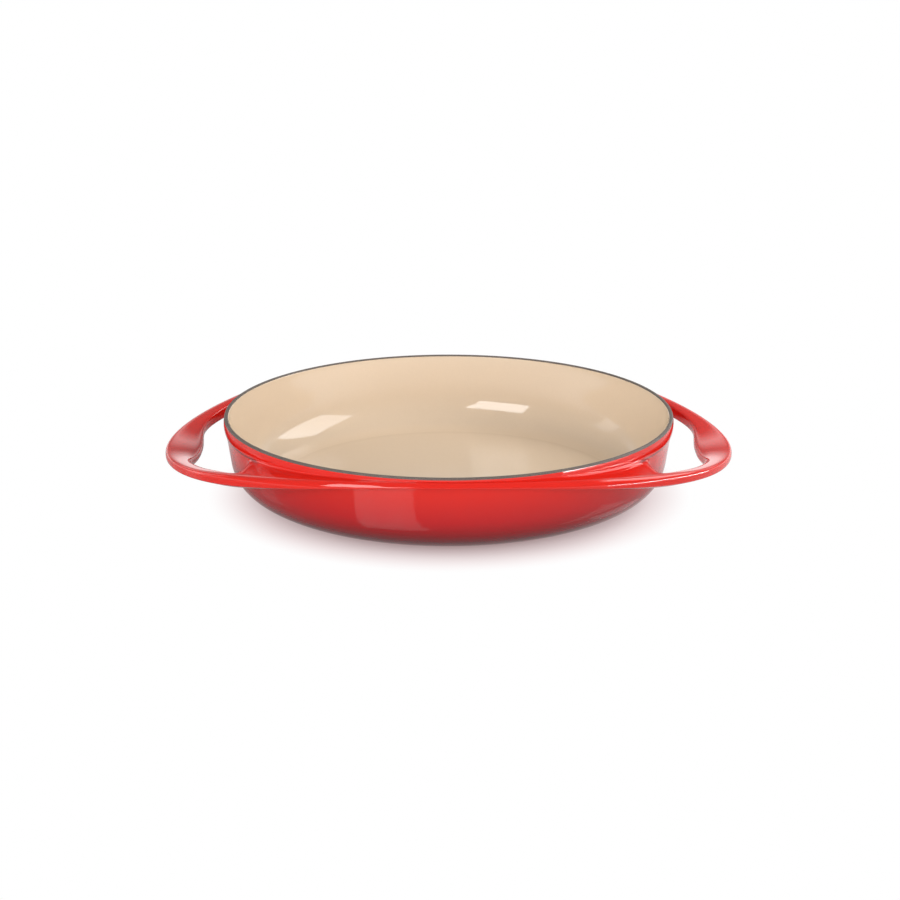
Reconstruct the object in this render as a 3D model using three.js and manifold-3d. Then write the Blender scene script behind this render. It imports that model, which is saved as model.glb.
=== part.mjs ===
// A round enamelled cast-iron tarte tatin dish with an oval flange that widens into two loop handles.
// Millimetres, +Z up. The origin is the centre of the face it stands on, and the handles lie along X.
import * as THREE from "three";
import { mergeVertices } from "three/addons/utils/BufferGeometryUtils.js";
import Module from "manifold-3d";

const { cos, sin, tan, asin, hypot, abs, exp, min, PI } = Math;
const { degToRad, smoothstep, clamp } = THREE.MathUtils;

// Bowl
const HEIGHT = 47;
const MOUTH_RADIUS = 124.7;
const BASE_RADIUS = 90;
const FOOT_HEIGHT = 0.8;
const WALL_OUTSIDE_MOUTH = 2.4;
const WALL_DRAFT = degToRad(8);
const HEEL_HEIGHT = 18;
const HEEL_FULLNESS = 0.49;
const FLOOR_THICKNESS = 4.2;
const LINING_FLOOR_RADIUS = 90;
const LINING_DRAFT = degToRad(11);
const LINING_HEEL_HEIGHT = 17;

// Lip, and the collar under it
const LIP_WIDTH = 2.2;
const LIP_RISE = 0.8;
const MOUTH_EASE = 0.4;
const COLLAR_HEIGHT = 6.6;
const COLLAR_PROUD = 0.6;
const COLLAR_EASE = 0.5;
const COLLAR_BULGE = 1.2;

// Flange, bent down along an arc from the front and back towards the handles
const FLANGE_OVERHANG = 3.6;
const FLANGE_BELOW_LIP = 2;
const FLANGE_DROP = 17;
const FLANGE_FRONT_THICKNESS = 2.6;
const FLANGE_HANDLE_THICKNESS = 5.8;
const FLANGE_TOP_EASE = 0.9;
const FLANGE_BOTTOM_EASE = 1.4;
const FLANGE_ROOT_DEPTH = 1.4;

// Handles
const HANDLE_REACH = 33.3;
const GRIP_WIDTH = 19.8;
const GRIP_SPAN = 26;
const GRIP_ROLL = 6;
const GRIP_BELLY = 3.6;
const ARM_WIDTH = 6.2;
const ARM_BELLY = 1.8;
const HOLE_HALF_ANGLE = degToRad(37.4);
const HOLE_ARM_CORNER = 5;
const HOLE_WALL_CORNER = 8;
const HOLE_CUT_SPARE = 1;

// Enamel coats, and the clearance that keeps each one apart from its neighbour
const COAT = 0.35;
const COAT_GAP = 0.15;

// Facets
const BOWL_STEPS = 60;
const FLANGE_STEPS = 72;
const HEEL_STEPS = 5;
const COLLAR_STEPS = 4;
const LIP_STEPS = 4;
const GRIP_STEPS = 12;
const CORNER_STEPS = 3;

// Sizes that follow from those above
const lipRadius = MOUTH_RADIUS + LIP_WIDTH;
const lipFoot = HEIGHT - LIP_RISE;
const floorTop = FOOT_HEIGHT + FLOOR_THICKNESS;
const flangeHalfLength = lipRadius + HANDLE_REACH;
const flangeHalfWidth = lipRadius + FLANGE_OVERHANG;
const core = COAT + COAT_GAP;

const wasm = await Module();
wasm.setup();

// Outside radius of the straight wall at a height.
function wallRadius(z) {
  return MOUTH_RADIUS + WALL_OUTSIDE_MOUTH - (HEIGHT - z) * tan(WALL_DRAFT);
}

// Radius of the lining's straight wall at a height.
function liningRadius(z) {
  return MOUTH_RADIUS - MOUTH_EASE - (lipFoot - MOUTH_EASE - z) * tan(LINING_DRAFT);
}

// The rounded corner between a flat floor and a straight wall, from the floor up.
function heelPath(floorRadius, floorZ, heelTop, radiusAt) {
  const floorEnd = new THREE.Vector2(floorRadius, floorZ);
  const corner = new THREE.Vector2(radiusAt(floorZ), floorZ);
  const wallEnd = new THREE.Vector2(radiusAt(heelTop), heelTop);
  const curve = new THREE.CubicBezierCurve(
    floorEnd,
    floorEnd.clone().lerp(corner, HEEL_FULLNESS),
    wallEnd.clone().lerp(corner, HEEL_FULLNESS),
    wallEnd,
  );
  return curve.getPoints(HEEL_STEPS);
}

// Outside of the bowl, from the edge of the foot to the top of the collar.
function outsidePath() {
  const collarFoot = lipFoot - COLLAR_HEIGHT;
  const wall = wallRadius(collarFoot);
  const bottom = new THREE.Vector2(wall + COLLAR_PROUD, collarFoot + COLLAR_EASE);
  const top = new THREE.Vector2(lipRadius, lipFoot - COAT_GAP);
  const fullest = new THREE.Vector2(lipRadius + COLLAR_BULGE, (bottom.y + top.y) / 2);
  const bead = new THREE.SplineCurve([bottom, fullest, top]);
  return [
    ...heelPath(BASE_RADIUS, FOOT_HEIGHT, FOOT_HEIGHT + HEEL_HEIGHT, wallRadius),
    new THREE.Vector2(wall, collarFoot),
    ...bead.getPoints(COLLAR_STEPS),
  ];
}

// Over the lip, from its outer edge to the mouth.
function lipPath() {
  const middle = MOUTH_RADIUS + LIP_WIDTH / 2;
  const arc = new THREE.EllipseCurve(middle, lipFoot, LIP_WIDTH / 2, LIP_RISE, 0, PI);
  return arc.getPoints(LIP_STEPS);
}

// Inside of the bowl, from the mouth down to the middle of the floor.
function insidePath() {
  const heelTop = floorTop + LINING_HEEL_HEIGHT;
  const heel = heelPath(LINING_FLOOR_RADIUS, floorTop, heelTop, liningRadius);
  return [
    new THREE.Vector2(MOUTH_RADIUS, lipFoot - COAT_GAP),
    new THREE.Vector2(MOUTH_RADIUS - MOUTH_EASE, lipFoot - MOUTH_EASE - COAT_GAP),
    ...heel.reverse(),
    new THREE.Vector2(0, floorTop),
  ];
}

// A path moved to its left by a distance, its corners mitred.
function offsetPath(points, distance, closed = false) {
  const last = points.length - 1;
  const leftOf = (a, b) => new THREE.Vector2(a.y - b.y, b.x - a.x).normalize();
  return points.map((point, i) => {
    const before = i > 0 ? points[i - 1] : closed ? points[last] : null;
    const after = i < last ? points[i + 1] : closed ? points[0] : null;
    const lefts = [];
    if (before) lefts.push(leftOf(before, point));
    if (after) lefts.push(leftOf(point, after));
    const left = lefts[0].clone().add(lefts[lefts.length - 1]).normalize();
    const stretch = 1 / left.dot(lefts[0]);
    return point.clone().addScaledVector(left, distance * stretch);
  });
}

// A profile of radius and height turned about Z.
function turned(profile) {
  return new THREE.LatheGeometry(profile, BOWL_STEPS).rotateX(PI / 2);
}

// A closed geometry as a solid that can be joined and cut.
function solidOf(geometry) {
  const bare = geometry.clone();
  bare.deleteAttribute("normal");
  bare.deleteAttribute("uv");
  const merged = mergeVertices(bare);
  const vertProperties = merged.attributes.position.array;
  const triVerts = new Uint32Array(merged.index.array);
  return new wasm.Manifold(new wasm.Mesh({ numProp: 3, vertProperties, triVerts }));
}

// A solid back as a geometry.
function geometryOf(solid) {
  const { vertProperties, triVerts } = solid.getMesh();
  const geometry = new THREE.BufferGeometry();
  geometry.setAttribute("position", new THREE.BufferAttribute(vertProperties, 3));
  geometry.setIndex(new THREE.BufferAttribute(triVerts, 1));
  geometry.computeVertexNormals();
  return geometry;
}

// Distance from the axis to the flange's oval edge, in a direction measured from X.
function flangeRadius(angle) {
  const across = flangeHalfWidth * cos(angle);
  const along = flangeHalfLength * sin(angle);
  return (flangeHalfLength * flangeHalfWidth) / hypot(across, along);
}

// 1 at the middle of a grip, falling to 0 along the arms.
function gripShare(angle) {
  const fromX = asin(abs(sin(angle)));
  const alongEdge = fromX * flangeHalfLength;
  return exp(-((alongEdge / GRIP_SPAN) ** 2));
}

// Width of the loop round a finger hole: full at the grip, slim along the arms.
function loopWidth(angle) {
  return ARM_WIDTH + (GRIP_WIDTH - ARM_WIDTH) * gripShare(angle);
}

// Height of the flange's upper face, which bends down along an arc towards the handles.
function flangeTop(x) {
  return HEIGHT - FLANGE_BELOW_LIP - FLANGE_DROP * (x / flangeHalfLength) ** 2;
}

// 0 at the front and back of the flange, growing to 1 where the handles leave the bowl.
function handleShare(x) {
  return smoothstep(abs(x), 0, lipRadius);
}

// Thickness of the flange, thin at the front and back and full at the handles.
function flangeThickness(x) {
  return FLANGE_FRONT_THICKNESS + (FLANGE_HANDLE_THICKNESS - FLANGE_FRONT_THICKNESS) * handleShare(x);
}

// Radius of the flange's root, inside the wall that it joins.
function rootRadius(z) {
  return wallRadius(z) - FLANGE_ROOT_DEPTH;
}

// The flange's section in one direction, as radius and height, anticlockwise from its root's lower edge.
// Towards the finger hole a grip's upper face rolls down, and the underside of the whole loop swells.
function flangeSection(angle, inset) {
  const skinEdge = flangeRadius(angle);
  const edge = skinEdge - inset;
  const depthAt = (r) => clamp((skinEdge - r) / loopWidth(angle), 0, 1);
  const grip = gripShare(angle);
  const roll = GRIP_ROLL * grip;
  const belly = (ARM_BELLY + (GRIP_BELLY - ARM_BELLY) * grip) * handleShare(edge * cos(angle));
  const topAt = (r) => flangeTop(r * cos(angle)) - roll * depthAt(r) ** 2 - inset;
  const bottomAt = (r) => {
    const x = r * cos(angle);
    return flangeTop(x) - flangeThickness(x) - belly * depthAt(r) + inset;
  };
  const edgeTop = topAt(edge);
  const edgeBottom = bottomAt(edge);
  const ease = (size) => min(size, (edgeTop - edgeBottom) / 3);
  const topEase = ease(FLANGE_TOP_EASE);
  const bottomEase = ease(FLANGE_BOTTOM_EASE);
  const rootBottom = bottomAt(rootRadius(edgeBottom));
  const rootTop = topAt(rootRadius(edgeTop));
  const middle = (rootRadius(rootTop) + edge) / 2;
  const outer = (middle + edge) / 2;
  return [
    [rootRadius(rootBottom), rootBottom],
    [middle, bottomAt(middle)],
    [outer, bottomAt(outer)],
    [edge - bottomEase, bottomAt(edge - bottomEase)],
    [edge, edgeBottom + bottomEase],
    [edge, edgeTop - topEase],
    [edge - topEase, topAt(edge - topEase)],
    [outer, topAt(outer)],
    [middle, topAt(middle)],
    [rootRadius(rootTop), rootTop],
  ];
}

// The flange before its holes are cut: its section carried all the way round.
function flangeRing(inset) {
  const positions = [];
  const index = [];
  let ring = 0;
  for (let step = 0; step < FLANGE_STEPS; step++) {
    const angle = (2 * PI * step) / FLANGE_STEPS;
    const section = flangeSection(angle, inset);
    ring = section.length;
    for (const [r, z] of section) positions.push(r * cos(angle), r * sin(angle), z);
  }
  for (let step = 0; step < FLANGE_STEPS; step++) {
    const here = step * ring;
    const next = ((step + 1) % FLANGE_STEPS) * ring;
    for (let k = 0; k < ring; k++) {
      const up = (k + 1) % ring;
      index.push(here + k, next + k, here + up, next + k, next + up, here + up);
    }
  }
  const geometry = new THREE.BufferGeometry();
  geometry.setAttribute("position", new THREE.Float32BufferAttribute(positions, 3));
  geometry.setIndex(index);
  return geometry;
}

// Outline of the finger hole of the handle on +X: the grip's edge, a corner at each arm, and the bowl's wall.
function holeOutline() {
  const at = (r, angle) => [r * cos(angle), r * sin(angle)];
  const gripEdge = (angle) => flangeRadius(angle) - loopWidth(angle);
  const endEdge = gripEdge(HOLE_HALF_ANGLE);
  const wall = wallRadius(flangeTop(endEdge * cos(HOLE_HALF_ANGLE)));
  const lowest = flangeTop(flangeHalfLength) - FLANGE_HANDLE_THICKNESS - GRIP_BELLY;
  const inWall = rootRadius(lowest) - HOLE_CUT_SPARE;
  const middle = wall + ((endEdge - wall) * HOLE_WALL_CORNER) / (HOLE_WALL_CORNER + HOLE_ARM_CORNER);
  const armStart = HOLE_HALF_ANGLE - HOLE_ARM_CORNER / endEdge;
  const wallStart = HOLE_HALF_ANGLE - HOLE_WALL_CORNER / wall;
  const shape = new THREE.Shape();
  shape.moveTo(...at(inWall, -wallStart));
  shape.lineTo(...at(wall, -wallStart));
  shape.quadraticCurveTo(...at(wall, -HOLE_HALF_ANGLE), ...at(middle, -HOLE_HALF_ANGLE));
  shape.quadraticCurveTo(...at(endEdge, -HOLE_HALF_ANGLE), ...at(gripEdge(armStart), -armStart));
  for (let step = 1 - GRIP_STEPS; step <= GRIP_STEPS; step++) {
    const angle = (armStart * step) / GRIP_STEPS;
    shape.lineTo(...at(gripEdge(angle), angle));
  }
  shape.quadraticCurveTo(...at(endEdge, HOLE_HALF_ANGLE), ...at(middle, HOLE_HALF_ANGLE));
  shape.quadraticCurveTo(...at(wall, HOLE_HALF_ANGLE), ...at(wall, wallStart));
  shape.lineTo(...at(inWall, wallStart));
  return shape.getPoints(CORNER_STEPS);
}

// The flange with its two finger holes, drawn in by an inset on every face.
function flange(inset) {
  const outline = offsetPath(holeOutline(), -inset, true);
  const hole = new THREE.ExtrudeGeometry(new THREE.Shape(outline), { depth: HEIGHT, bevelEnabled: false });
  const otherHole = hole.clone().rotateZ(PI);
  return solidOf(flangeRing(inset)).subtract(solidOf(hole)).subtract(solidOf(otherHole));
}

// The dish's skin as one path, from the edge of the foot over the lip to the middle of the floor.
const outside = outsidePath();
const lip = lipPath();
const skin = [...outside, ...lip, ...insidePath()];
const lipStart = outside.length;
const insideStart = lipStart + lip.length;
const underCoat = offsetPath(skin, COAT);
const underGap = offsetPath(skin, core);

// The iron: the skin drawn in by the coats, closed by the foot, with the flange joined on.
function ironCasting() {
  const foot = BASE_RADIUS - COAT_GAP;
  const floorMiddle = underGap[underGap.length - 1];
  const profile = [
    new THREE.Vector2(0, FOOT_HEIGHT),
    new THREE.Vector2(foot, FOOT_HEIGHT),
    new THREE.Vector2(foot, FOOT_HEIGHT + core),
    ...underGap.slice(1, -1),
    new THREE.Vector2(0, floorMiddle.y),
  ];
  return geometryOf(solidOf(turned(profile)).add(flange(core)));
}

// The red coat: the outside of bowl and flange, hollowed by the same shape drawn in by the coat.
function outerEnamel() {
  const skinTop = outside[lipStart - 1];
  const hollowTop = underCoat[lipStart - 1];
  const whole = turned([
    new THREE.Vector2(0, FOOT_HEIGHT),
    ...outside,
    new THREE.Vector2(0, skinTop.y),
  ]);
  const hollow = turned([
    new THREE.Vector2(0, 0),
    new THREE.Vector2(BASE_RADIUS, 0),
    new THREE.Vector2(BASE_RADIUS, FOOT_HEIGHT + COAT),
    ...underCoat.slice(1, lipStart),
    new THREE.Vector2(hollowTop.x, HEIGHT),
    new THREE.Vector2(0, HEIGHT),
  ]);
  const outer = solidOf(whole).add(flange(0));
  const inner = solidOf(hollow).add(flange(COAT));
  return geometryOf(outer.subtract(inner));
}

// The sand coat inside, from the mouth to the middle of the floor.
function liningEnamel() {
  const under = underCoat.slice(insideStart, -1).reverse();
  return turned([
    new THREE.Vector2(0, floorTop - COAT),
    ...under,
    ...skin.slice(insideStart),
  ]);
}

// The ground coat over the lip, a ring whose profile closes on itself.
function rimEnamel() {
  const over = skin.slice(lipStart, insideStart);
  const under = underCoat.slice(lipStart, insideStart).reverse();
  return turned([...over, ...under, over[0]]);
}

// The ground coat on the face that the dish stands on.
function baseEnamel() {
  const radius = BASE_RADIUS - COAT_GAP;
  const top = FOOT_HEIGHT - COAT_GAP;
  return turned([
    new THREE.Vector2(0, 0),
    new THREE.Vector2(radius, 0),
    new THREE.Vector2(radius, top),
    new THREE.Vector2(0, top),
  ]);
}

const castIron = { color: 0x4a4746, roughness: 0.75, metalness: 0.9 };
const redGloss = { color: 0xd2232a, roughness: 0.12, metalness: 0 };
const sandGloss = { color: 0xdcc3a0, roughness: 0.15, metalness: 0 };
const greyMatt = { color: 0x6e6660, roughness: 0.7, metalness: 0 };

const dish = new THREE.Group();
dish.name = "tarte_tatin_dish";

function addPiece(name, geometry, finish) {
  const piece = new THREE.Mesh(geometry, new THREE.MeshStandardMaterial(finish));
  piece.name = name;
  dish.add(piece);
}

addPiece("iron_casting", ironCasting(), castIron);
addPiece("outer_enamel", outerEnamel(), redGloss);
addPiece("lining_enamel", liningEnamel(), sandGloss);
addPiece("rim_enamel", rimEnamel(), greyMatt);
addPiece("base_enamel", baseEnamel(), greyMatt);

export default dish;
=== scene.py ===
"""An enamelled cast-iron tarte tatin dish.

Red outside, sand inside, grey on the lip and under the base.
"""
from math import asin, atan2, cos, exp, hypot, pi, radians, sin, sqrt, tan

import bmesh
import bpy
from bpy.props import FloatProperty, FloatVectorProperty, PointerProperty
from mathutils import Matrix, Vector


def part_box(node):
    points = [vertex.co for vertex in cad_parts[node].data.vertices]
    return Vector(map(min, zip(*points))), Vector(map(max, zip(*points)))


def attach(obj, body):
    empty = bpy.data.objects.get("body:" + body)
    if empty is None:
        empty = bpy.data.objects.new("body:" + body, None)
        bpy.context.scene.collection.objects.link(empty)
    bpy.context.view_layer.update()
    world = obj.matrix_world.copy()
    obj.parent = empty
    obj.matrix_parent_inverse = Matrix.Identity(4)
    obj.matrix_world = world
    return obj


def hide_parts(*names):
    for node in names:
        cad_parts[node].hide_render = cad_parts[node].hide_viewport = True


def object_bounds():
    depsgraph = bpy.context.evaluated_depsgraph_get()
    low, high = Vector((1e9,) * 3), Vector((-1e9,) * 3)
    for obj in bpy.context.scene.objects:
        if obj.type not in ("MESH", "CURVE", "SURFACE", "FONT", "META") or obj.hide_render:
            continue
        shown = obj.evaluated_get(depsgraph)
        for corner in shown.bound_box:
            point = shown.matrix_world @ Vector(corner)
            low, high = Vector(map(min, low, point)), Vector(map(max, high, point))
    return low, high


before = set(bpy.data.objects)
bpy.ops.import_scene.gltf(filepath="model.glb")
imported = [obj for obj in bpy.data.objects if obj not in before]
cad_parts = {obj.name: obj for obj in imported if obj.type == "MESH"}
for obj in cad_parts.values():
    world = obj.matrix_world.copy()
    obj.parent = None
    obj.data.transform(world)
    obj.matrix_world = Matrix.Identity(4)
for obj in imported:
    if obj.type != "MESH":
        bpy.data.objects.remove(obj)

bl_info = {
    "name": "Tarte Tatin Dish",
    "version": (1, 0, 0),
    "blender": (4, 5, 0),
    "location": "View3D > Sidebar > Dish",
    "description": "Builds an enamelled cast-iron tarte tatin dish and a small studio round it",
    "category": "Add Mesh",
}

MM = 0.001
CAD_LOW, CAD_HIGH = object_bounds()
OUTER_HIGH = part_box("outer_enamel")[1]
RIM_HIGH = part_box("rim_enamel")[1]
LINING_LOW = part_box("lining_enamel")[0]
BASE_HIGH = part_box("base_enamel")[1]

# columns of the cage round the dish, and how much closer they stand at the handles
COLUMNS = 80
COLUMN_ANGLE = 2 * pi / COLUMNS
CROWDING = 0.22
MERGE_DISTANCE = 0.01 * MM
SUBDIVISIONS = 2

# rows of the base and the floor, as shares of their radius, and of the rounded corners
BASE_SHARES = (0, 0.5, 0.92)
BASE_EDGE = 0.5 * MM
FLOOR_SHARES = (0.92, 0.6, 0.3, 0)
HEEL_STEPS = 5
BEADS_TO_LINING = 4

# rows of the collar: under its crease, over it, about its fullest line, and under the lip
COLLAR_FIRST = 0.5 * MM
CREASE_ROWS = (0, 0.4 * MM, 0.9 * MM)
FULLEST_ROWS = (-1 * MM, 0.7 * MM)
COLLAR_LAST = 0.8 * MM
COLLAR_SHARPNESS = 0.8

# how far the flange's fillet climbs the collar, and how the collar's rows give way to it
CLIMB_SHARE = 0.36
CLIMB_GAP = 0.1 * MM
CLIMB_BLEND = 0.6 * MM

# edge of the flange: where the front turns into an arm, as a share of the lip's radius, and its
# rounding, as shares of the thickness and of the ease
ARM_FROM = 0.5
FRONT_UPRIGHT, ARM_UPRIGHT = 0.28, 0.52
MOST_EASE = 0.6
FULL_EASE_THICKNESS = 0.8
EDGE_TOP_INSET = 0.22

# faces of the flange: places of their rows, and the angles over which they change
ARM_ROW = 0.55
WEB_ROW = 0.55
FILLET_SHARE = 0.35
WALL_END_GAP = 2.4 * MM
WEB_BLEND = radians(12)
ROOT_BLEND = radians(9)
GRIP_POWER = 2.5

# finger holes: rows turned at their ends to round the corners, and the swell of the metal round them
FLARE_COLUMNS = 3
ROOT_FLARE = radians(5)
SHORT_OF_HOLE = {"fillet": radians(3.2), "web": radians(1), "hole": 0}
WEB_NOSE_SHARES = {"root": 0, "fillet": 0.6, "web": 1}
SHARPEST_MITRE = 0.5
NOSE_CUTS = 3
NOSE_SWELL = 1.08


def length(name, description, default):
    """A size in metres that shows in the sidebar."""
    return FloatProperty(
        name=name, description=description, default=default, unit="LENGTH", precision=5
    )


def angle(name, description, degrees):
    """An angle that shows in the sidebar in degrees."""
    return FloatProperty(
        name=name, description=description, default=radians(degrees), subtype="ANGLE"
    )


def share(name, description, default):
    """A number from 0 to 1."""
    return FloatProperty(
        name=name, description=description, default=default, subtype="FACTOR", min=0, max=1
    )


def colour(name, description, default):
    """A linear colour with no alpha."""
    return FloatVectorProperty(
        name=name, description=description, default=default, subtype="COLOR", min=0, max=1
    )


class DishSizes(bpy.types.PropertyGroup):
    """Sizes of the dish. The overall ones come from the frame."""

    height: length("Height", "From the worktop to the top of the lip", CAD_HIGH.z)
    lip_radius: length("Lip radius", "Outside of the grey lip", RIM_HIGH.x)
    lip_width: length("Lip width", "Grey lip, from its outer edge to the mouth", 2.2 * MM)
    lip_outside: length("Lip outside", "How far the grey lip reaches down outside", 1.05 * MM)
    lip_inside: length("Lip inside", "How far the grey lip reaches down inside", 0.75 * MM)
    lip_ease: length("Lip ease", "Rounding of the lip's edges", 0.35 * MM)
    wall_outside_mouth: length("Wall outside mouth", "Outer wall's line beyond the mouth", 2.4 * MM)
    wall_draft: angle("Wall draft", "Slope of the outer wall", 8)
    base_radius: length("Base radius", "Flat base", BASE_HIGH.x + 1.2 * MM)
    foot_height: length("Foot height", "Where the red coat starts over the base", 0.15 * MM)
    heel_height: length("Heel height", "Rounded corner from base to wall", 18.8 * MM)
    heel_fullness: share("Heel fullness", "How far the rounded corners fill the corner", 0.56)
    floor_height: length("Floor height", "Inside floor over the worktop", LINING_LOW.z + 0.35 * MM)
    floor_radius: length("Floor radius", "Flat part of the inside floor", 98 * MM)
    lining_draft: angle("Lining draft", "Slope of the inner wall", 12.5)
    lining_heel_height: length("Lining heel height", "Rounded corner from floor to wall", 18 * MM)
    bead: length("Bead", "Thick edge of the sand coat under the lip", 0.25 * MM)

    collar_height: length("Collar height", "Rounded collar under the lip", 6.6 * MM)
    collar_bulge: length("Collar bulge", "Collar's fullest line beyond the lip", 0.3 * MM)
    collar_fullest: length("Collar fullest", "Collar's fullest line under the lip's top", 4.3 * MM)
    collar_step: length("Collar step", "Collar's fullest line beyond its lower edge", 0.5 * MM)

    flange_half_length: length("Flange half length", "Axis to a handle's tip", OUTER_HIGH.x + 0.5 * MM)
    flange_half_width: length("Flange half width", "Axis to the flange's front edge", OUTER_HIGH.y)
    flange_below_lip: length("Flange below lip", "Front of the flange under the lip", 1.96 * MM)
    flange_drop: length("Flange drop", "How far the handles bend down", 17.06 * MM)
    flange_bend: FloatProperty(name="Flange bend", description="Power of the bend", default=2.16)
    flange_tilt: angle("Flange tilt", "Slope of the upper face towards the bowl", 1.5)
    front_thickness: length("Front thickness", "Flange at the front and back", 2.58 * MM)
    arm_thickness: length("Arm thickness", "Flange at its thickest", 5.4 * MM)
    thickest_at: length("Thickest at", "Thickest flange, along the handles' axis", 123.8 * MM)
    edge_ease: length("Edge ease", "Rounding of the arms' outer top edge", 1.1 * MM)
    front_ease: length("Front ease", "Rounding of the front's outer top edge", 1.8 * MM)
    edge_ease_below: length("Edge ease below", "Rounding of the outer lower edge", 0.4 * MM)
    root_drop: length("Root drop", "How far the root sinks within a finger hole", 3 * MM)
    fillet: length("Fillet", "Enamel that fills the corner between flange and bowl", 4.2 * MM)

    grip_width: length("Grip width", "Handle at its middle", 19.8 * MM)
    grip_span: length("Grip span", "How far the wide grip runs along the edge", 33 * MM)
    grip_roll: length("Grip roll", "How far the grip's top rolls down to the hole", 2 * MM)
    roll_span: length("Roll span", "How far that roll runs along the edge", 38 * MM)
    grip_belly: length("Grip belly", "Swell of the grip's underside", 6 * MM)
    grip_nose: length("Grip nose", "Rounding of the grip towards the finger hole", 2.8 * MM)
    arm_width: length("Arm width", "Handle's arms", 9.2 * MM)
    arm_end_width: length("Arm end width", "Handle's arms where they meet the flange", 5.4 * MM)
    arm_belly: length("Arm belly", "Swell of the arms' underside", 2.3 * MM)
    arm_nose: length("Arm nose", "Rounding of the arms towards the finger hole", 0.4 * MM)
    web_nose: length("Web nose", "Rounding of the flange at the ends of a finger hole", 2 * MM)
    arm_taper_from: angle("Arm taper from", "Angle from which the arms grow slimmer", 13)
    hole_half_angle: angle("Hole half angle", "Half of a finger hole's sweep", 36.6)

    coat: length("Coat", "Thickness of the enamel", 0.35 * MM)
    core_depth: length("Core depth", "Iron under the face of the enamel", 0.5 * MM)


class DishColours(bpy.types.PropertyGroup):
    """Colours of the finishes."""

    red_top: colour("Red at the rim", "Red enamel at the flange and collar", (0.77, 0.016, 0.008))
    red_middle: colour("Red on the wall", "Red enamel half way down", (0.52, 0.008, 0.010))
    red_base: colour("Red at the base", "Red enamel at the heel", (0.15, 0.004, 0.008))
    # painted shade: a darker red drawn into the crease under the collar
    red_crease_shade: colour("Red in the corner", "Red pooled under the collar", (0.3, 0.002, 0.003))
    sand: colour("Sand", "Lining enamel", (0.77, 0.612, 0.45))
    # the fleck colour also gives the painted shade round the edge of the floor
    sand_fleck_and_shade: colour("Sand fleck", "Flecks in the lining, and its pool", (0.5, 0.35, 0.22))
    grey: colour("Grey", "Ground coat on the lip and the base", (0.12, 0.097, 0.082))
    iron: colour("Iron", "Cast iron under the coats", (0.05, 0.048, 0.046))
    iron_grain: colour("Iron grain", "Paler grain of the cast iron", (0.09, 0.085, 0.08))


def soft_max(a, b, ease):
    """The larger of two numbers, with the change from one to the other eased."""
    return (a + b + hypot(a - b, ease)) / 2


def limited(value, low=0, high=1):
    """A number kept between two limits."""
    return min(max(value, low), high)


def smooth_step(value, start, end):
    """0 before start, 1 after end, and a smooth rise between."""
    t = limited((value - start) / (end - start))
    return t * t * (3 - 2 * t)


def mix(a, b, t):
    """The number that lies a share t of the way from a to b."""
    return a + (b - a) * t


def lip_foot(s):
    """Height at which the grey lip meets the red coat."""
    return s.height - s.lip_outside


def collar_crease(s):
    """Height of the collar's lower edge."""
    return lip_foot(s) - s.collar_height


def wall_radius(s, z):
    """Outside of the bowl's straight wall at a height."""
    mouth = s.lip_radius - s.lip_width
    return mouth + s.wall_outside_mouth - (s.height - z) * tan(s.wall_draft)


def lining_radius(s, z):
    """Inside of the bowl's straight wall at a height."""
    mouth = s.lip_radius - s.lip_width
    return mouth - (s.height - s.lip_inside - z) * tan(s.lining_draft)


def collar_radius(s, z):
    """Outside of the wall and, above its crease, of the rounded collar."""
    crease = collar_crease(s)
    if z <= crease:
        return wall_radius(s, z)
    fullest = s.height - s.collar_fullest
    if z < fullest:
        inwards = s.collar_step * ((fullest - z) / (fullest - crease)) ** 2
    else:
        inwards = s.collar_bulge * ((z - fullest) / (lip_foot(s) - fullest)) ** 2
    return s.lip_radius + s.collar_bulge - inwards


def heel(s, floor_radius, floor_z, top_z, radius_at):
    """The rounded corner from a flat floor up to a straight wall, as points of radius and height."""
    corner = Vector((radius_at(s, floor_z), floor_z))
    start = Vector((floor_radius, floor_z))
    end = Vector((radius_at(s, top_z), top_z))
    near_start = start.lerp(corner, s.heel_fullness)
    near_end = end.lerp(corner, s.heel_fullness)
    points = []
    for step in range(HEEL_STEPS + 1):
        t = step / HEEL_STEPS
        u = 1 - t
        first_half = start * u**3 + near_start * (3 * u * u * t)
        points.append(first_half + near_end * (3 * u * t * t) + end * t**3)
    return points


def flange_edge(s, turn):
    """Distance from the axis to the flange's oval edge."""
    across = s.flange_half_width * cos(turn)
    along = s.flange_half_length * sin(turn)
    return s.flange_half_length * s.flange_half_width / hypot(across, along)


def edge_height(s, x):
    """Height of the flange's upper edge, which bends down towards the handles."""
    bend = (abs(x) / s.flange_half_length) ** s.flange_bend
    return s.height - s.flange_below_lip - s.flange_drop * bend


def flange_thickness(s, x):
    """Thickness of the flange's edge: thin at the front, full along the arms, slimmer at the tips."""
    away = 1 - (x / s.thickest_at) ** 2
    return s.arm_thickness - (s.arm_thickness - s.front_thickness) * away * away


def grip_share(s, turn, span):
    """1 at the middle of a grip, falling to 0 along the arms."""
    return exp(-((turn * s.flange_half_length / span) ** GRIP_POWER))


def loop_width(s, turn):
    """Width of the loop round a finger hole."""
    taper = limited((turn - s.arm_taper_from) / (s.hole_half_angle - s.arm_taper_from)) ** 2
    arm = mix(s.arm_width, s.arm_end_width, taper)
    return mix(arm, s.grip_width, grip_share(s, turn, s.grip_span))


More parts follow.
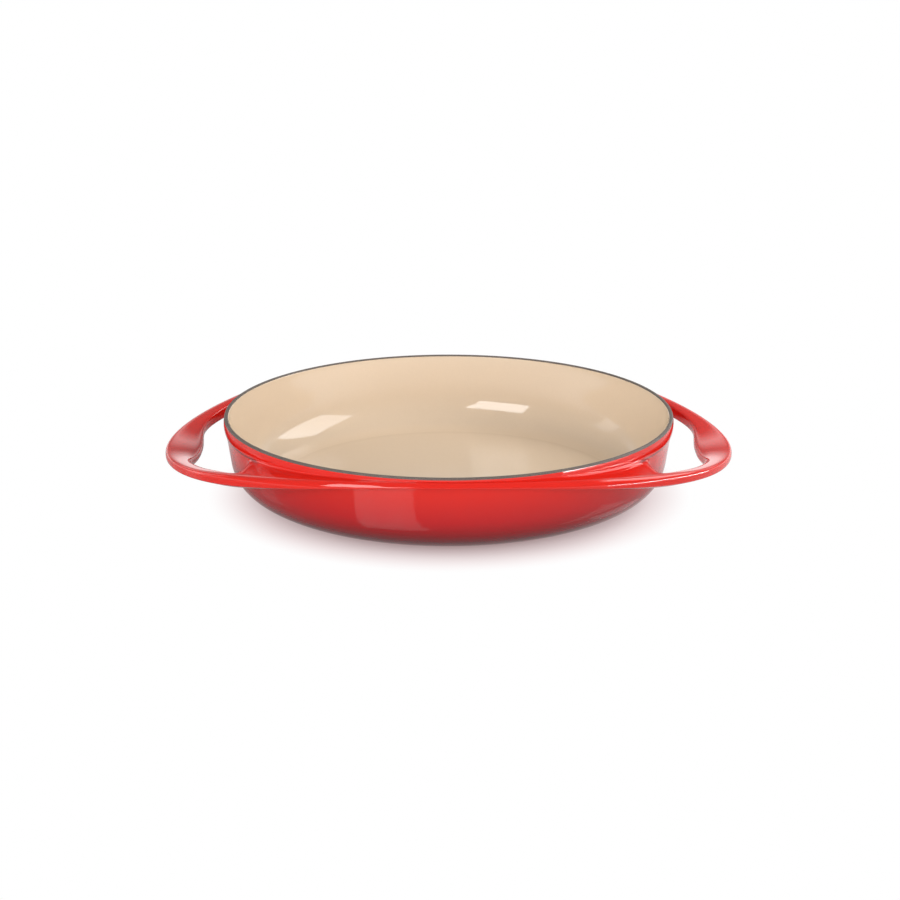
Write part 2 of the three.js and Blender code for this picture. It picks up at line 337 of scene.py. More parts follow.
class Flange:
    """The flange cut in one direction.

    The direction is given as its turn from the handles' axis: 0 at a handle, a quarter at the front.
    """

    def __init__(self, s, turn):
        self.s = s
        self.turn = turn
        self.lean = cos(turn)
        self.edge = flange_edge(s, turn)
        self.width = loop_width(s, turn)
        self.roll = s.grip_roll * grip_share(s, turn, s.roll_span)
        self.web = smooth_step(turn, s.hole_half_angle - WEB_BLEND, s.hole_half_angle)

        x = self.edge * self.lean
        self.edge_z = edge_height(s, x)
        self.thickness = flange_thickness(s, x)
        on_arm = smooth_step(x, ARM_FROM * s.lip_radius, s.lip_radius)
        self.upright = mix(FRONT_UPRIGHT, ARM_UPRIGHT, on_arm)
        self.ease = min(mix(s.front_ease, s.edge_ease, on_arm), MOST_EASE * self.thickness)
        full = limited(self.thickness / (FULL_EASE_THICKNESS * s.arm_thickness))
        self.ease_below = s.edge_ease_below * full

        grip = grip_share(s, turn, s.grip_span)
        self.nose = mix(s.arm_nose, s.grip_nose, grip)
        self.belly = mix(s.arm_belly, s.grip_belly, grip) * smooth_step(x, 0, s.lip_radius)

        if turn < s.hole_half_angle:
            hole_end = Flange(s, s.hole_half_angle)
            sunk = smooth_step(s.hole_half_angle - turn, 0, ROOT_BLEND)
            self.root_z = hole_end.root_z - s.root_drop * sunk
            self.under_z = hole_end.under_z
        else:
            root = wall_radius(s, s.height)
            self.root_z, self.under_z = self.top(root), self.bottom(root)
        self.root = collar_radius(s, self.root_z)
        self.under = wall_radius(s, self.under_z)

    def depth(self, r):
        """0 at the outer edge, 1 at the finger hole."""
        return limited((self.edge - r) / self.width)

    def top(self, r):
        """Height of the upper face: on the arms level with the edge, on the web bent along with it."""
        tilted = (self.edge - r) * tan(self.s.flange_tilt) * self.lean * (1 - self.web)
        bent = edge_height(self.s, mix(self.edge, r, self.web) * self.lean)
        return bent - tilted - self.roll * self.depth(r) ** 2

    def bottom(self, r):
        """Height of the lower face, which swells towards the finger hole."""
        return self.edge_z - self.thickness - self.belly * self.depth(r)

    def face_radii(self, root, ease):
        """Radii of the rows on an upper or lower face, from its outer edge in to its root."""
        hole_end = self.s.hole_half_angle
        corner = self.edge - ease
        loop = self.edge - self.width + self.nose
        web = mix(root, corner, WEB_ROW)
        hole = mix(loop, web, smooth_step(self.turn, hole_end, hole_end + WEB_BLEND))
        fillet = root + min(self.s.fillet, FILLET_SHARE * (hole - root))
        return corner, mix(corner, hole, ARM_ROW), hole, (hole + fillet) / 2, fillet


FACE_ROWS = ("corner", "arm", "hole", "web", "fillet")


def base_rows(s):
    """Rows of the ground coat under the base, from its middle out."""
    radii = [part * s.base_radius for part in BASE_SHARES]
    radii.append(s.base_radius - BASE_EDGE)
    return [(f"base {i}", r, 0) for i, r in enumerate(radii)]


def outside_rows(s, turn):
    """Rows of the red coat from the foot to the lip."""
    flange = Flange(s, turn)
    edge = flange.edge
    heel_points = heel(s, s.base_radius, s.foot_height, s.heel_height, wall_radius)
    rows = [(f"heel {i}", point.x, point.y) for i, point in enumerate(heel_points)]
    wall_end = flange.under_z - WALL_END_GAP
    wall_middle = (s.heel_height + wall_end) / 2
    rows.append(("wall", wall_radius(s, wall_middle), wall_middle))
    rows.append(("wall end", wall_radius(s, wall_end), wall_end))
    rows.append(("root below", flange.under, flange.under_z))

    below = list(zip(FACE_ROWS, flange.face_radii(flange.under, flange.ease_below)))
    rows += [(name + " below", r, flange.bottom(r)) for name, r in reversed(below)]
    rows.append(("edge below", edge, flange.bottom(edge) + flange.ease_below))
    rows.append(("edge", edge, mix(flange.bottom(edge), flange.top(edge), flange.upright)))
    rows.append(("edge top", edge - EDGE_TOP_INSET * flange.ease, flange.top(edge) - flange.ease))
    above = zip(FACE_ROWS, flange.face_radii(flange.root, flange.ease))
    rows += [(name + " top", r, flange.top(r)) for name, r in above]
    rows.append(("root top", flange.root, flange.root_z))
    return rows + collar_rows(s, flange.root_z)


def collar_rows(s, root_z):
    """Rows from the flange's root over the collar, drawn together where the flange covers it."""
    top = lip_foot(s)
    crease = collar_crease(s)
    fullest = s.height - s.collar_fullest
    start = crease - COLLAR_FIRST
    climb = root_z + min(s.fillet, CLIMB_SHARE * (top - root_z))
    lifted = soft_max(start, climb + CLIMB_GAP, CLIMB_BLEND)
    rows = [("wall top", collar_radius(s, climb), climb)]
    heights = [start]
    heights += [crease + up for up in CREASE_ROWS]
    heights += [fullest + up for up in FULLEST_ROWS]
    heights.append(top - COLLAR_LAST)
    for i, z in enumerate(heights):
        z = lifted + (z - start) * (top - lifted) / (top - start)
        rows.append((f"collar {i}", collar_radius(s, z), z))
    return rows


def lip_rows(s):
    """Rows of the grey lip, over its flat top to the mouth."""
    outer, inner = s.lip_radius, s.lip_radius - s.lip_width
    return [
        ("lip outside", outer, lip_foot(s)),
        ("lip outer edge", outer - s.lip_ease, s.height),
        ("lip", (outer + inner) / 2, s.height),
        ("lip inner edge", inner + s.lip_ease, s.height),
        ("lip ease", inner, s.height - s.lip_ease),
        ("lip inside", inner, s.height - s.lip_inside),
    ]


def lining_rows(s):
    """Rows of the sand coat, from the mouth down to the middle of the floor."""
    bead_z = s.height - s.lip_inside - s.bead
    top_z = bead_z - BEADS_TO_LINING * s.bead
    heel_top = s.floor_height + s.lining_heel_height
    middle_z = (top_z + heel_top) / 2
    rows = [
        ("bead", lining_radius(s, bead_z) - s.bead, bead_z),
        ("lining top", lining_radius(s, top_z), top_z),
        ("lining", lining_radius(s, middle_z), middle_z),
    ]
    points = heel(s, s.floor_radius, s.floor_height, heel_top, lining_radius)
    rows += [(f"floor heel {i}", point.x, point.y) for i, point in enumerate(reversed(points))]
    for i, part in enumerate(FLOOR_SHARES):
        rows.append((f"floor {i}", s.floor_radius * part, s.floor_height))
    return rows


# the row that each coat starts with, from under the base to the inside floor
COAT_STARTS = {
    "base_enamel": "base 0",
    "outer_enamel": "heel 0",
    "rim_enamel": "lip outside",
    "lining_enamel": "lip inside",
}
COATS = tuple(COAT_STARTS)


def skin_rows(s, turn):
    """Rows of the whole skin in one direction, as name, radius and height."""
    return base_rows(s) + outside_rows(s, turn) + lip_rows(s) + lining_rows(s)


def column_angle(column):
    """Angle of a column round the dish. Columns stand closer together at the handles."""
    even = column * COLUMN_ANGLE
    return even - CROWDING * sin(2 * even)


def column_shrink(column):
    """How much subdivision draws a round row in at a column."""
    gap = COLUMN_ANGLE * (1 - 2 * CROWDING * cos(2 * column * COLUMN_ANGLE))
    return (4 + 2 * cos(gap)) / 6


def column_turn(column):
    """A column's angle to the handles' axis, whichever handle is nearer."""
    return asin(abs(sin(column_angle(column))))


def columns_off(column):
    """Number of columns to the nearest handle's middle."""
    half = COLUMNS // 2
    return min(column % half, half - column % half)


def hole_columns(s):
    """Number of columns from a handle's middle to the end of its finger hole."""
    quarter = range(COLUMNS // 4)
    return min(quarter, key=lambda column: abs(column_turn(column) - s.hole_half_angle))


def hole_flare(s, name, column):
    """Turn added to a row at the end of a finger hole, whose corners are rounded."""
    end = hole_columns(s)
    off_end = abs(columns_off(column) - end)
    shift = s.hole_half_angle - column_turn(end)
    part = name.split()[0]
    if part == "root":
        return (shift - ROOT_FLARE) * max(0, 1 - off_end / FLARE_COLUMNS)
    if off_end > 0 or part not in SHORT_OF_HOLE:
        return 0
    return shift + s.web_nose / s.lip_radius - SHORT_OF_HOLE[part]


def dish_skin(s):
    """The whole dish as one closed cage, each face marked with the number of its coat."""
    bm = bmesh.new()
    row_layer = bm.verts.layers.int.new("row")
    sections = [skin_rows(s, column_turn(column)) for column in range(COLUMNS)]
    names = [name for name, r, z in sections[0]]
    profile = []
    for row, (name, r, z) in enumerate(sections[COLUMNS // 4]):
        vert = bm.verts.new((r, 0, z))
        vert[row_layer] = row
        profile.append(vert)
    edges = [bm.edges.new(pair) for pair in zip(profile, profile[1:])]
    bmesh.ops.spin(
        bm,
        geom=profile + edges,
        axis=(0, 0, 1),
        cent=(0, 0, 0),
        angle=2 * pi,
        steps=COLUMNS,
        use_merge=True,
    )
    bmesh.ops.remove_doubles(bm, verts=bm.verts, dist=MERGE_DISTANCE)
    shape_columns(s, bm, sections)
    mark_coats(bm, names)
    open_handles(s, bm, names)
    sharpen_collar(bm, names)
    bmesh.ops.recalc_face_normals(bm, faces=bm.faces)
    return bm


def shape_columns(s, bm, sections):
    """Moves each vertex of the round cage to its row's place in its own direction."""
    row_layer = bm.verts.layers.int["row"]
    column_layer = bm.verts.layers.int.new("column")
    for vert in bm.verts:
        column = round(atan2(vert.co.y, vert.co.x) / COLUMN_ANGLE) % COLUMNS
        vert[column_layer] = column
        name, r, z = sections[column][vert[row_layer]]
        around = column_angle(column)
        away = 1 if sin(around) * cos(around) > 0 else -1
        around += away * hole_flare(s, name, column)
        r /= column_shrink(column)
        vert.co = (r * cos(around), r * sin(around), z)


def mark_coats(bm, names):
    """Gives each face its coat's number as its material index."""
    row_layer = bm.verts.layers.int["row"]
    starts = [names.index(COAT_STARTS[coat]) for coat in COATS]
    for face in bm.faces:
        low = min(vert[row_layer] for vert in face.verts)
        face.material_index = sum(low >= start for start in starts) - 1


def sharpen_collar(bm, names):
    """Keeps the corner under the collar crisp."""
    row_layer = bm.verts.layers.int["row"]
    crease = bm.edges.layers.float.new("crease_edge")
    corner = names.index("collar 1")
    for edge in bm.edges:
        if all(vert[row_layer] == corner for vert in edge.verts):
            edge[crease] = COLLAR_SHARPNESS


def open_handles(s, bm, names):
    """Cuts the two finger holes and rounds the metal round them."""
    row_layer = bm.verts.layers.int["row"]
    rise = bm.verts.layers.float.new("rise")
    nose = bm.verts.layers.float_vector.new("nose")
    bmesh.ops.delete(bm, geom=hole_faces(s, bm, names), context="FACES")
    edge_row = names.index("edge")
    rims = [edge for edge in bm.edges if edge.is_boundary]
    point_noses(s, rims, names, row_layer, nose)
    for vert in {vert for edge in rims for vert in edge.verts}:
        vert[rise] = float(vert[row_layer] > edge_row)
    walls = []
    for side in (-1, 1):
        loops = [edge for edge in rims if edge.verts[0].co.x * side > 0]
        walls += bmesh.ops.bridge_loops(bm, edges=loops)["edges"]
    bridge = [edge for edge in walls if edge.verts[0][rise] != edge.verts[1][rise]]
    fresh = bmesh.ops.subdivide_edges(bm, edges=bridge, cuts=NOSE_CUTS, use_grid_fill=True)
    outer = COATS.index("outer_enamel")
    for item in fresh["geom_inner"]:
        if isinstance(item, bmesh.types.BMVert):
            up = 2 * item[rise] - 1
            item.co += item[nose] * (NOSE_SWELL * sqrt(max(0, 1 - up * up)))
            for face in item.link_faces:
                face.material_index = outer


def hole_faces(s, bm, names):
    """Faces of the flange, above and below, that the finger holes take away."""
    row_layer = bm.verts.layers.int["row"]
    column_layer = bm.verts.layers.int["column"]
    spans = [
        (names.index("hole top"), names.index("root top")),
        (names.index("root below"), names.index("hole below")),
    ]
    end = hole_columns(s)
    cut = []
    for face in bm.faces:
        rows = [vert[row_layer] for vert in face.verts]
        inside = any(low <= min(rows) and max(rows) <= high for low, high in spans)
        if inside and max(columns_off(vert[column_layer]) for vert in face.verts) <= end:
            cut.append(face)
    return cut


def point_noses(s, rims, names, row_layer, nose):
    """Stores at each vertex round a hole how far, and which way, the metal swells towards the hole."""
    outwards = {}
    for edge in rims:
        along = (edge.verts[1].co - edge.verts[0].co).normalized()
        away = (edge.verts[0].co + edge.verts[1].co) / 2 - edge.link_faces[0].calc_center_median()
        away -= along * away.dot(along)
        away.z = 0
        for vert in edge.verts:
            outwards.setdefault(vert, []).append(away.normalized())
    for vert, (first, second) in outwards.items():
        part = names[vert[row_layer]].split()[0]
        if part in WEB_NOSE_SHARES:
            amount = WEB_NOSE_SHARES[part] * s.web_nose
        else:
            amount = Flange(s, asin(abs(vert.co.y) / vert.co.xy.length)).nose
        mitre = (first + second) / max(SHARPEST_MITRE, 1 + first.dot(second))
        vert[nose] = mitre * amount


class Value:
    """A shader socket that takes part in sums: each operator adds the node that works it out."""

    def __init__(self, finish, socket):
        self.finish = finish
        self.socket = socket

    def math(self, operation, first, second):
        return self.finish.node("ShaderNodeMath", {"operation": operation}, {0: first, 1: second})

    def __add__(self, other):
        return self.math("ADD", self, other)

    __radd__ = __add__

    def __mul__(self, other):
        return self.math("MULTIPLY", self, other)

    __rmul__ = __mul__

    def __sub__(self, other):
        return self.math("SUBTRACT", self, other)

    def __rsub__(self, other):
        return self.math("SUBTRACT", other, self)

    def __truediv__(self, other):
        return self.math("DIVIDE", self, other)

    def __rtruediv__(self, other):
        return self.math("DIVIDE", other, self)

    def __pow__(self, other):
        return self.math("POWER", self, other)

    def __rpow__(self, other):
        return self.math("POWER", other, self)


class Finish:
    """A node tree being written."""

    def __init__(self, tree):
        self.tree = tree
        tree.nodes.clear()

    def node(self, kind, settings=None, sockets=None, output=0):
        """Adds a node: its settings, then its sockets' values or links. Gives one of its outputs."""
        node = self.tree.nodes.new(kind)
        for name, value in (settings or {}).items():
            if name == "stops":
                self.set_stops(node.color_ramp, value)
            else:
                setattr(node, name, value)
        for key, value in (sockets or {}).items():
            socket = node.inputs[key]
            if isinstance(value, Value):
                self.tree.links.new(value.socket, socket)
            else:
                socket.default_value = value
        return Value(self, node.outputs[output]) if node.outputs else node

    def set_stops(self, ramp, stops):
        """Gives a colour ramp its stops of place and colour."""
        while len(ramp.elements) < len(stops):
            ramp.elements.new(1)
        for element, (place, tint) in zip(ramp.elements, stops):
            element.position = place
            element.color = opaque(tint)

    def ray(self, kind):
        """1 for light paths of a kind, such as Camera or Glossy, and 0 for others."""
        return self.node("ShaderNodeLightPath", output=f"Is {kind} Ray")

    def point(self, space="Object"):
        """The place being shaded, by default as object coordinates in metres."""
        return self.node("ShaderNodeTexCoord", output=space)

    def along(self, axis, space="Object"):
        """That place along one axis."""
        return self.node("ShaderNodeSeparateXYZ", {}, {"Vector": self.point(space)}, output=axis)

    def radius(self):
        """Distance from the upright axis."""
        flat = self.node("ShaderNodeCombineXYZ", {}, {"X": self.along("X"), "Y": self.along("Y")})
        return self.node("ShaderNodeVectorMath", {"operation": "LENGTH"}, {0: flat}, output="Value")

    def rise(self, value, start, end, low=0.0, high=1.0, shape="SMOOTHSTEP"):
        """A number that goes from low to high while a value goes from start to end."""
        sockets = {"Value": value, "From Min": start, "From Max": end, "To Min": low, "To Max": high}
        return self.node("ShaderNodeMapRange", {"interpolation_type": shape}, sockets)

    def noise(self, scale, detail=2, roughness=0.5):
        """Even noise from 0 to 1, with a grain of about one over scale metres."""
        sockets = {"Vector": self.point(), "Scale": scale, "Detail": detail, "Roughness": roughness}
        return self.node("ShaderNodeTexNoise", {}, sockets)

    def ramp(self, factor, stops):
        """A colour that changes along stops of place and colour."""
        return self.node("ShaderNodeValToRGB", {"stops": stops}, {"Fac": factor})

    def levels(self, factor, steps):
        """A number that changes evenly along steps of place and level, with levels of up to 2."""
        return 2 * self.ramp(factor, [(place, [level / 2] * 3) for place, level in steps])

    def blend(self, factor, first, second):
        """Two colours mixed by a factor."""
        sockets = {0: factor, 6: first, 7: second}
        return self.node("ShaderNodeMix", {"data_type": "RGBA"}, sockets, output=2)

    def bump(self, height, distance):
        """Bumps for the Normal socket, as deep as distance where height goes from 0 to 1."""
        sockets = {"Height": height, "Distance": distance, "Strength": 1.0}
        return self.node("ShaderNodeBump", {}, sockets)

    def surface(self, **sockets):
        """The one shader that the finish ends in."""
        named = {name.replace("_", " "): value for name, value in sockets.items()}
        shader = self.node("ShaderNodeBsdfPrincipled", {}, named)
        self.node("ShaderNodeOutputMaterial", {}, {"Surface": shader})


def new_finish(name):
    """A new material and the node tree to write it in."""
    material = bpy.data.materials.new(name)
    material.use_nodes = True
    return material, Finish(material.node_tree)


def opaque(tint):
    """A colour with its alpha."""
    return (*tint, 1)


# gloss enamels: depth of their ripple, and how much their roughness varies
RIPPLE_DEPTH = 0.02 * MM
HAZE = 0.03

# red enamel: heights of its three reds, as shares of the dish's height, and its plain flange
RED_HEIGHTS = (0.17, 0.46, 0.8)
FLANGE_BLEND = 2 * MM
RED_ROUGHNESS = 0.02
RED_HAZE_GRAIN = 45
RED_RIPPLE_GRAIN = 260
# painted shade in the crease under the collar: heights about the collar's crease, and shares of the
# lip's radius towards the handles
CREASE_SHADE_COMES = (-1.2 * MM, -0.2 * MM)
CREASE_SHADE_GOES = (0.3 * MM, 0.9 * MM)
CREASE_SHADE_SIDES = (0.79, 0.82)

# sand enamel: its fleck, its painted shade in a ring round the edge of the floor by shares of the
# floor's radius, and the worn floor
FLECK_GRAIN = 900
FLECK_SHARE = 0.12
SAND_EDGE_SHADE = ((0.95, 0), (1.03, 1), (1.12, 0))
SAND_EDGE_SHADE_SHARE = 0.14
WORN_HEIGHTS = (0.5 * MM, 3 * MM)
WORN_ROUGHNESS, WALL_ROUGHNESS = 0.2, 0.03
SAND_HAZE_GRAIN = 40
SAND_RIPPLE_GRAIN = 220

# grey ground coat: its speckle, as places in the noise and brightness there
SPECKLE_GRAIN = 1600
SPECKLE_STOPS = ((0.3, 0.6), (0.7, 1.5))
SPECKLE_DEPTH = 0.08 * MM
GREY_ROUGHNESS, GREY_HAZE = 0.5, 0.25
GREY_HAZE_GRAIN = 700

# cast iron
IRON_GRAIN = 1200
IRON_GRAIN_DEPTH = 0.2 * MM
IRON_ROUGHNESS, IRON_HAZE = 0.5, 0.3


def red_enamel(c, s):
    """Gloss enamel that darkens from the flange to the heel, with painted shade in the crease under
    the collar.
    """
    material, finish = new_finish("red_enamel_finish")
    height = finish.along("Z")
    on_flange = finish.rise(finish.radius(), s.lip_radius, s.lip_radius + FLANGE_BLEND)
    stops = list(zip(RED_HEIGHTS, (c.red_base, c.red_middle, c.red_top)))
    red = finish.blend(on_flange, finish.ramp(height / s.height, stops), opaque(c.red_top))

    # painted shade: darker red in the crease under the collar, towards the handles and off the flange
    crease = collar_crease(s)
    comes = finish.rise(height, *[crease + up for up in CREASE_SHADE_COMES])
    goes = finish.rise(height, *[crease + up for up in CREASE_SHADE_GOES], low=1.0, high=0.0)
    sideways = finish.node("ShaderNodeMath", {"operation": "ABSOLUTE"}, {0: finish.along("X")})
    in_loop = finish.rise(sideways, *[part * s.lip_radius for part in CREASE_SHADE_SIDES])
    painted_shade = comes * goes * in_loop * (1 - on_flange)
    finish.surface(
        Base_Color=finish.blend(painted_shade, red, opaque(c.red_crease_shade)),
        Roughness=RED_ROUGHNESS + HAZE * finish.noise(RED_HAZE_GRAIN),
        IOR=1.47,
        Normal=finish.bump(finish.noise(RED_RIPPLE_GRAIN), RIPPLE_DEPTH),
    )
    return material


def sand_enamel(c, s):
    """Gloss enamel with a faint fleck, painted shade in a ring round the edge of the floor, and duller
    on the floor.
    """
    material, finish = new_finish("sand_enamel_finish")
    fleck = finish.noise(FLECK_GRAIN, detail=3)
    # painted shade: a darker ring where the floor meets the heel
    painted_shade = finish.levels(finish.radius() / s.floor_radius, SAND_EDGE_SHADE)
    amount = FLECK_SHARE * fleck + SAND_EDGE_SHADE_SHARE * painted_shade
    low, high = [s.floor_height + up for up in WORN_HEIGHTS]
    worn = finish.rise(finish.along("Z"), low, high, WORN_ROUGHNESS, WALL_ROUGHNESS)
    finish.surface(
        Base_Color=finish.blend(amount, opaque(c.sand), opaque(c.sand_fleck_and_shade)),
        Roughness=worn + HAZE * finish.noise(SAND_HAZE_GRAIN),
        IOR=1.5,
        Normal=finish.bump(finish.noise(SAND_RIPPLE_GRAIN), RIPPLE_DEPTH),
    )
    return material


def grey_enamel(c, s):
    """Matt ground coat, dark and speckled."""
    material, finish = new_finish("grey_enamel_finish")
    speckle = finish.noise(SPECKLE_GRAIN, detail=4, roughness=0.7)
    stops = [(place, [part * level for part in c.grey]) for place, level in SPECKLE_STOPS]
    finish.surface(
        Base_Color=finish.ramp(speckle, stops),
        Roughness=GREY_ROUGHNESS + GREY_HAZE * finish.noise(GREY_HAZE_GRAIN),
        Normal=finish.bump(speckle, SPECKLE_DEPTH),
    )
    return material


def cast_iron(c, s):
    """Rough dark casting, hidden under the coats."""
    material, finish = new_finish("cast_iron_finish")
    grain = finish.noise(IRON_GRAIN, detail=4, roughness=0.6)
    finish.surface(
        Base_Color=finish.blend(grain, opaque(c.iron), opaque(c.iron_grain)),
        Metallic=1.0,
        Roughness=IRON_ROUGHNESS + IRON_HAZE * grain,
        Normal=finish.bump(grain, IRON_GRAIN_DEPTH),
    )
    return material


# the slot of each node of the frame, and what writes its finish
FINISHES = {
    "outer_enamel": ("red_enamel", red_enamel),
    "lining_enamel": ("sand_enamel", sand_enamel),
    "rim_enamel": ("grey_enamel", grey_enamel),
    "base_enamel": ("grey_enamel", grey_enamel),
    "iron_casting": ("cast_iron", cast_iron),
}


def add_piece(context, bm, node):
    """Makes the object that stands for a node of the frame, smooth and with its finish."""
    scene = context.scene
    for face in bm.faces:
        face.material_index = 0
        face.smooth = True
    mesh = bpy.data.meshes.new(node + "_piece")
    bm.to_mesh(mesh)
    bm.free()
    slot, finish = FINISHES[node]
    material = bpy.data.materials.get(slot + "_finish")
    mesh.materials.append(material or finish(scene.dish_colours, scene.dish_sizes))
    piece = bpy.data.objects.new(mesh.name, mesh)
    scene.collection.objects.link(piece)
    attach(piece, "root")
    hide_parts(node)
    rounding = piece.modifiers.new("Subdivision", "SUBSURF")
    rounding.levels = SUBDIVISIONS
    rounding.render_levels = SUBDIVISIONS
    return piece


def add_coat(context, node):
    """One coat of enamel: its strip of the dish's skin, given its thickness inwards."""
    s = context.scene.dish_sizes
    bm = dish_skin(s)
    number = COATS.index(node)
    others = [face for face in bm.faces if face.material_index != number]
    bmesh.ops.delete(bm, geom=others, context="FACES")
    for edge in bm.edges:
        edge.smooth = not edge.is_boundary
    piece = add_piece(context, bm, node)
    wall = piece.modifiers.new("Coat", "SOLIDIFY")
    wall.thickness = s.coat
    wall.offset = -1
    return {"FINISHED"}


class DISH_OT_iron(bpy.types.Operator):
    """Cast the iron: the whole dish drawn in by the depth of its coats"""

    bl_idname = "dish.iron"
    bl_label = "Iron casting"

    def execute(self, context):
        s = context.scene.dish_sizes
        piece = add_piece(context, dish_skin(s), "iron_casting")
        inwards = piece.modifiers.new("Core", "DISPLACE")
        inwards.mid_level = 0
        inwards.strength = -s.core_depth
        return {"FINISHED"}


class DISH_OT_outer_enamel(bpy.types.Operator):
    """Coat the outside, the flange and the handles in red"""

    bl_idname = "dish.outer_enamel"
    bl_label = "Red enamel"

    def execute(self, context):
        return add_coat(context, "outer_enamel")


class DISH_OT_lining_enamel(bpy.types.Operator):
    """Line the inside in sand"""

    bl_idname = "dish.lining_enamel"
    bl_label = "Sand lining"

    def execute(self, context):
        return add_coat(context, "lining_enamel")


class DISH_OT_ground_coats(bpy.types.Operator):
    """Leave the lip and the base in matt grey"""

    bl_idname = "dish.ground_coats"
    bl_label = "Grey lip and base"

    def execute(self, context):
        add_coat(context, "rim_enamel")
        return add_coat(context, "base_enamel")


# camera, in metres and degrees; its lens and sensor are in millimetres
CAMERA_TARGET = Vector((0.00076, 0, 0.0233))
CAMERA_DISTANCE = 1.2
CAMERA_HEIGHT_ANGLE = radians(17.06)
CAMERA_LENS = 84.08
CAMERA_SENSOR = 36

# floor: its disc, its paper, the shadow that it keeps within a reach of the dish's middle, and a pink
# glow there, painted red bounce light
WHITE = (1, 1, 1, 1)
FLOOR_RADIUS = 6
FLOOR_SIDES = 96
FLOOR_PAPER = (0.6, 0.6, 0.6, 1)
FLOOR_SHADE = 0.72
SHADOW_REACH = (0.09, 0.138)
PAINTED_RED_BOUNCE = (1, 0.52, 0.54, 1)
PAINTED_RED_BOUNCE_POWER = 0.5
# how the floor shows in the gloss: its polish, and its glow, painted side light that grows from the
# left side to the right
FLOOR_MIRROR = 0.14
FLOOR_MIRROR_ROUGHNESS = 0.06
FLOOR_SIDE_LIGHT_FROM = (-0.2, 0.2)
FLOOR_SIDE_LIGHT = (0.1, 0.55)

# world: its light, and its brightness in reflections by the sine of the height over the horizon
WORLD_LIGHT = 0.27
STUDIO_LEVELS = ((0, 1.6), (0.1, 1.6), (0.22, 0.34), (1, 0.34))
BACK_STRIP_LEVELS = ((0.25, 0), (0.35, 0.95), (0.45, 0))
BACK_STRIP_SIDE = (0.3, 0.7)

SHADE, GLOSS = "shade", "gloss"
SOFTBOXES = (
    # name, azimuth and elevation in degrees, distance, width and height, watts, what it lights
    ("front", -158, 15, 1.6, (1.6, 0.7), 13.5, SHADE),
    ("right", 118, 14, 1.6, (1.0, 0.7), 7, SHADE),
    ("key", -140, 50, 1.7, (1.1, 1.1), 4, SHADE),
    ("key_gloss", -145, 42, 3.5, (1.75, 1.55), 66, GLOSS),
    ("side", 72, 42, 0.85, (0.6, 0.4), 3.8, SHADE),
    ("side_gloss", 70, 40.4, 0.7, (0.56, 0.32), 2.5, GLOSS),
    ("low_gloss", 97, 0.3, 1.0, (1.1, 0.05), 5.5, GLOSS),
    ("left", -104, 18, 1.6, (0.8, 0.7), 4, SHADE),
    ("left_gloss", -70, 14, 1.5, (0.36, 1.0), 1.6, GLOSS),
)


def face_dish(thing, away, distance):
    """Puts a camera or a light at a distance from the dish, pointing at it."""
    thing.location = CAMERA_TARGET + away * distance
    thing.rotation_euler = (-away).to_track_quat("-Z", "Y").to_euler()


def add_camera(scene):
    """The camera, in front of the dish and a little above it."""
    data = bpy.data.cameras.new("camera")
    data.lens = CAMERA_LENS
    data.sensor_width = CAMERA_SENSOR
    camera = bpy.data.objects.new("camera", data)
    away = Vector((0, -cos(CAMERA_HEIGHT_ANGLE), sin(CAMERA_HEIGHT_ANGLE)))
    face_dish(camera, away, CAMERA_DISTANCE)
    scene.collection.objects.link(camera)
    scene.camera = camera


def add_softbox(scene, name, azimuth, elevation, distance, size, watts, part):
    """A rectangular light that faces the dish, seen either by its shading or in its gloss."""
    around, up = radians(azimuth), radians(elevation)
    away = Vector((cos(up) * sin(around), cos(up) * cos(around), sin(up)))
    data = bpy.data.lights.new(name, "AREA")
    data.shape = "RECTANGLE"
    data.size, data.size_y = size
    data.energy = watts
    light = bpy.data.objects.new(name, data)
    face_dish(light, away, distance)
    light.visible_camera = False
    light.visible_diffuse = part == SHADE
    light.visible_glossy = part == GLOSS
    scene.collection.objects.link(light)


def add_world(scene):
    """White to the camera, a studio with a bright horizon in reflections, and a soft even light."""
    world = bpy.data.worlds.new("studio")
    world.use_nodes = True
    scene.world = world
    finish = Finish(world.node_tree)
    seen = finish.ray("Camera")
    reflected = (finish.ray("Glossy") + finish.ray("Transmission")) * (1 - seen)
    up = finish.along("Z", "Generated")
    behind = finish.rise(finish.along("Y", "Generated"), *BACK_STRIP_SIDE, shape="LINEAR")
    backdrop = finish.levels(up, STUDIO_LEVELS) + behind * finish.levels(up, BACK_STRIP_LEVELS)
    level = seen + reflected * backdrop + (1 - seen - reflected) * WORLD_LIGHT
    sky = finish.node("ShaderNodeBackground", {}, {"Color": WHITE, "Strength": level})
    finish.node("ShaderNodeOutputWorld", {}, {"Surface": sky})


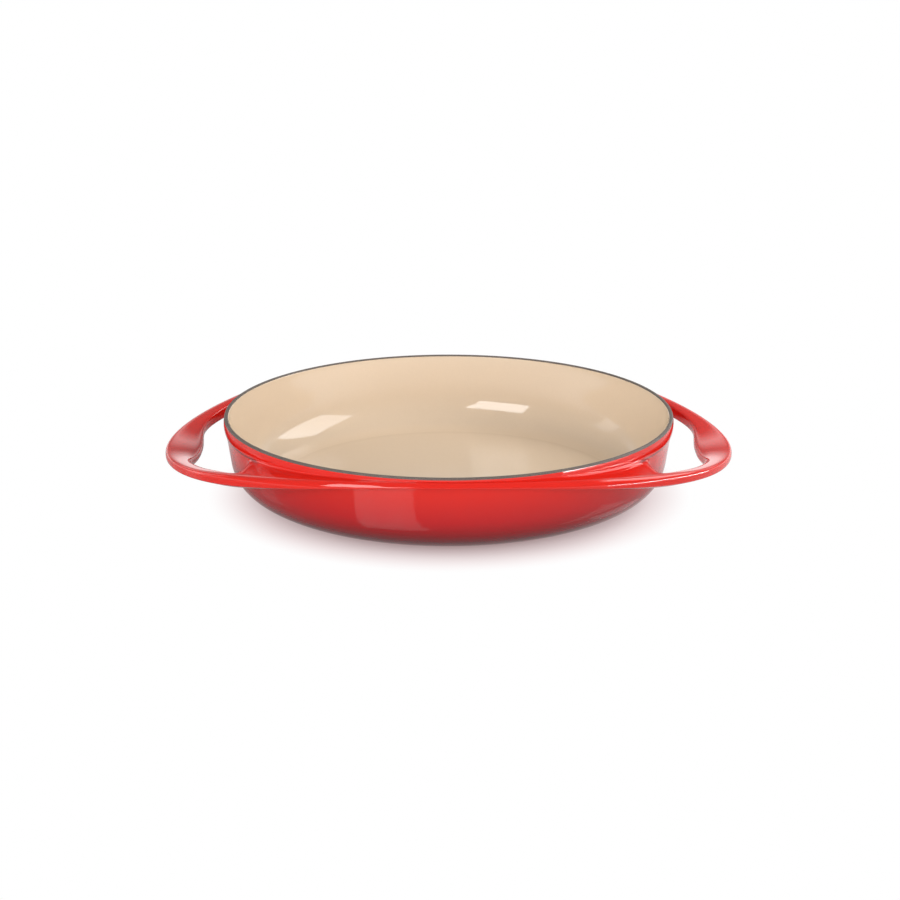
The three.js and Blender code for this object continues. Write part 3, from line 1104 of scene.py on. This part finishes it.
def floor_white():
    """Paper that keeps the dish's shadow, fades into white for the camera and shows in the gloss. Near
    the dish its glow is pink, painted red bounce light, and in the gloss it glows brighter on the
    right, painted side light.
    """
    material, finish = new_finish("floor_white")
    seen, mirrored = finish.ray("Camera"), finish.ray("Glossy")
    distance = finish.radius()
    # painted red bounce light: the glow turns pink near the dish
    bounce_reach = finish.rise(distance, *SHADOW_REACH, shape="LINEAR") ** PAINTED_RED_BOUNCE_POWER
    tint = finish.blend(bounce_reach, PAINTED_RED_BOUNCE, WHITE)
    glow = finish.node("ShaderNodeEmission", {}, {"Color": tint, "Strength": 1.0})
    white = finish.rise(distance, *SHADOW_REACH, low=1 - FLOOR_SHADE)
    # painted side light: in the gloss the floor glows brighter on the right than on the left
    bright = finish.rise(finish.along("X"), *FLOOR_SIDE_LIGHT_FROM, *FLOOR_SIDE_LIGHT, shape="LINEAR")

    paper = finish.node("ShaderNodeBsdfDiffuse", {}, {"Color": FLOOR_PAPER})
    gloss = {"Color": WHITE, "Roughness": FLOOR_MIRROR_ROUGHNESS}
    mirror = finish.node("ShaderNodeBsdfGlossy", {}, gloss)
    layers = {0: FLOOR_MIRROR * mirrored, 1: paper, 2: mirror}
    polished = finish.node("ShaderNodeMixShader", {}, layers)
    layers = {0: white * seen + bright * mirrored * (1 - seen), 1: polished, 2: glow}
    lit = finish.node("ShaderNodeMixShader", {}, layers)
    finish.node("ShaderNodeOutputMaterial", {}, {"Surface": lit})
    return material


def add_floor(scene):
    """The pale floor that the dish stands on."""
    bm = bmesh.new()
    bmesh.ops.create_circle(bm, cap_ends=True, segments=FLOOR_SIDES, radius=FLOOR_RADIUS)
    mesh = bpy.data.meshes.new("floor")
    bm.to_mesh(mesh)
    bm.free()
    mesh.materials.append(floor_white())
    floor = bpy.data.objects.new("floor", mesh)
    scene.collection.objects.link(floor)


class DISH_OT_stage(bpy.types.Operator):
    """Set out the floor, the lights and the camera"""

    bl_idname = "dish.stage"
    bl_label = "Stage"

    def execute(self, context):
        scene = context.scene
        scene.view_settings.view_transform = "Standard"
        add_camera(scene)
        add_world(scene)
        add_floor(scene)
        for softbox in SOFTBOXES:
            add_softbox(scene, *softbox)
        return {"FINISHED"}


class DISH_PT_sidebar(bpy.types.Panel):
    """The dish's pieces and sizes"""

    bl_idname = "DISH_PT_sidebar"
    bl_label = "Tarte tatin dish"
    bl_space_type = "VIEW_3D"
    bl_region_type = "UI"
    bl_category = "Dish"

    def draw(self, context):
        for operator in OPERATORS:
            self.layout.operator(operator.bl_idname)
        for group in (context.scene.dish_sizes, context.scene.dish_colours):
            box = self.layout.box()
            for name in group.bl_rna.properties.keys():
                if name not in ("rna_type", "name"):
                    box.prop(group, name)


OPERATORS = (
    DISH_OT_iron,
    DISH_OT_outer_enamel,
    DISH_OT_lining_enamel,
    DISH_OT_ground_coats,
    DISH_OT_stage,
)
CLASSES = (DishSizes, DishColours, *OPERATORS, DISH_PT_sidebar)


def register():
    for cls in CLASSES:
        bpy.utils.register_class(cls)
    bpy.types.Scene.dish_sizes = PointerProperty(type=DishSizes)
    bpy.types.Scene.dish_colours = PointerProperty(type=DishColours)


def unregister():
    del bpy.types.Scene.dish_colours
    del bpy.types.Scene.dish_sizes
    for cls in reversed(CLASSES):
        bpy.utils.unregister_class(cls)


def main():
    """Builds the dish and its stage."""
    register()
    bpy.ops.dish.iron()
    bpy.ops.dish.outer_enamel()
    bpy.ops.dish.lining_enamel()
    bpy.ops.dish.ground_coats()
    bpy.ops.dish.stage()


if __name__ == "__main__":
    main()
